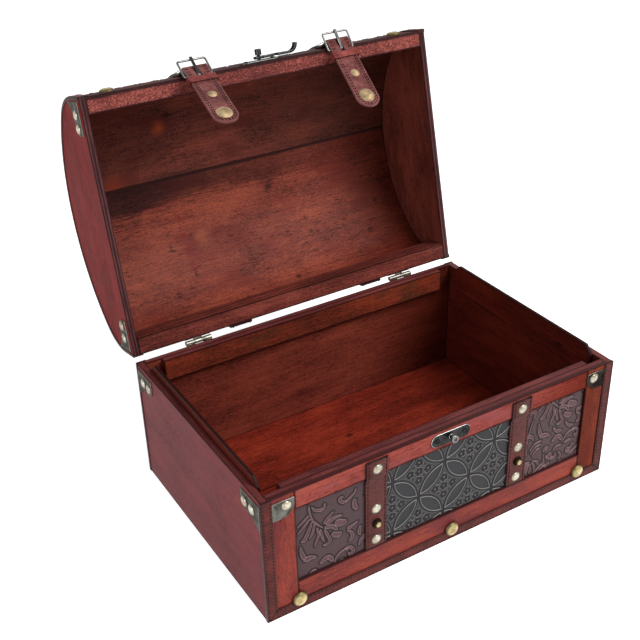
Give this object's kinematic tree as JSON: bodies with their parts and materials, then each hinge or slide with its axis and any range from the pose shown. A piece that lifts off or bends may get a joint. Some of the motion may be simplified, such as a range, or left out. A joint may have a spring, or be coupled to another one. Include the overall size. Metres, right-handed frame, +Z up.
{
  "type": "sea chest",
  "caption": "Small wooden sea chest with a domed hinged lid, embossed leather panels, buckled straps, edge binding, metal corners and a swing latch.",
  "frame": {"origin": "centre of the chest's flat underside", "axes": "+X to the right seen from the front, +Y to the back where the hinges are, +Z up"},
  "size_m": [0.3334, 0.3426, 0.3392],
  "materials": {
    "plum_wood": "satin stain",
    "dark_red_wood": "satin stain",
    "red_wood": "satin stain",
    "scroll_leather": "embossed",
    "ring_leather": "embossed",
    "strap_leather": "satin",
    "loop_leather": "satin",
    "binding_leather": "satin",
    "aged_brass": "aged",
    "nickel": "worn",
    "dull_steel": "dull"
  },
  "bodies": {
    "base": {"back_batten": "dark_red_wood", "back_bindings": "binding_leather", "back_wall": "plum_wood", "base_corner_brackets": "dull_steel", "base_dome_nails": "aged_brass", "base_rivets": "nickel", "base_screws": "nickel", "bottom_board": "dark_red_wood", "centre_ring_panel": "ring_leather", "front_batten": "red_wood", "front_bottom_binding": "binding_leather", "front_bottom_rail": "red_wood", "front_left_stile": "red_wood", "front_right_stile": "red_wood", "front_side_bindings": "binding_leather", "front_top_rail": "red_wood", "front_wall": "dark_red_wood", "hinge_pins": "nickel", "latch_keeper": "aged_brass", "left_end_wall": "plum_wood", "left_front_strap": "strap_leather", "left_hinge_base_leaf": "dull_steel", "left_lip_strip": "plum_wood", "left_scroll_panel": "scroll_leather", "right_end_wall": "plum_wood", "right_front_strap": "strap_leather", "right_hinge_base_leaf": "dull_steel", "right_lip_strip": "plum_wood", "right_scroll_panel": "scroll_leather", "snap_studs": "aged_brass"},
    "lid": {"latch_plate": "aged_brass", "left_hinge_lid_leaf": "dull_steel", "lid_back_rail": "red_wood", "lid_centre_panel": "ring_leather", "lid_corner_brackets": "dull_steel", "lid_dome_nails": "aged_brass", "lid_end_bindings": "binding_leather", "lid_front_board": "dark_red_wood", "lid_front_rail": "red_wood", "lid_left_end": "plum_wood", "lid_left_panel": "scroll_leather", "lid_left_strap": "strap_leather", "lid_rear_board": "dark_red_wood", "lid_right_end": "plum_wood", "lid_right_panel": "scroll_leather", "lid_right_strap": "strap_leather", "lid_rivets": "nickel", "lid_screws": "nickel", "right_hinge_lid_leaf": "dull_steel"},
    "hook": {"latch_hook": "aged_brass"},
    "left_tab": {"left_strap_tab": "strap_leather", "left_strap_loop": "loop_leather", "left_tab_studs": "aged_brass"},
    "left_buckle": {"left_buckle_frame": "aged_brass", "left_buckle_prong": "aged_brass"},
    "right_tab": {"right_strap_tab": "strap_leather", "right_strap_loop": "loop_leather", "right_tab_studs": "aged_brass"},
    "right_buckle": {"right_buckle_frame": "aged_brass", "right_buckle_prong": "aged_brass"}
  },
  "joints": [
    {"name": "lid_hinge", "type": "hinge", "parent": "base", "child": "lid", "pos_m": [0, 0.1111, 0.1125], "axis": [1, 0, 0], "range_deg": [0, 103.4]},
    {"name": "latch_swing", "type": "hinge", "parent": "lid", "child": "hook", "pos_m": [-0.0015, 0.1688, 0.3245], "axis": [0, -0.2317, -0.9728], "range_deg": [0, 90]},
    {"name": "left_tab_fold", "type": "hinge", "parent": "lid", "child": "left_tab", "pos_m": [0, 0.16567, 0.3308], "axis": [1, 0, 0], "range_deg": [-32, 0]},
    {"name": "left_buckle_flip", "type": "hinge", "parent": "left_tab", "child": "left_buckle", "pos_m": [0, 0.15611, 0.32631], "axis": [1, 0, 0], "range_deg": [0, 25]},
    {"name": "right_tab_fold", "type": "hinge", "parent": "lid", "child": "right_tab", "pos_m": [0, 0.16567, 0.3308], "axis": [1, 0, 0], "range_deg": [-46, 0]},
    {"name": "right_buckle_flip", "type": "hinge", "parent": "right_tab", "child": "right_buckle", "pos_m": [0, 0.15748, 0.32413], "axis": [1, 0, 0], "range_deg": [0, 25]}
  ],
  "couplings": [
    {"joint": "left_tab_fold", "follows": "lid_hinge", "ratio": -0.3094},
    {"joint": "right_tab_fold", "follows": "lid_hinge", "ratio": -0.4448}
  ]
}
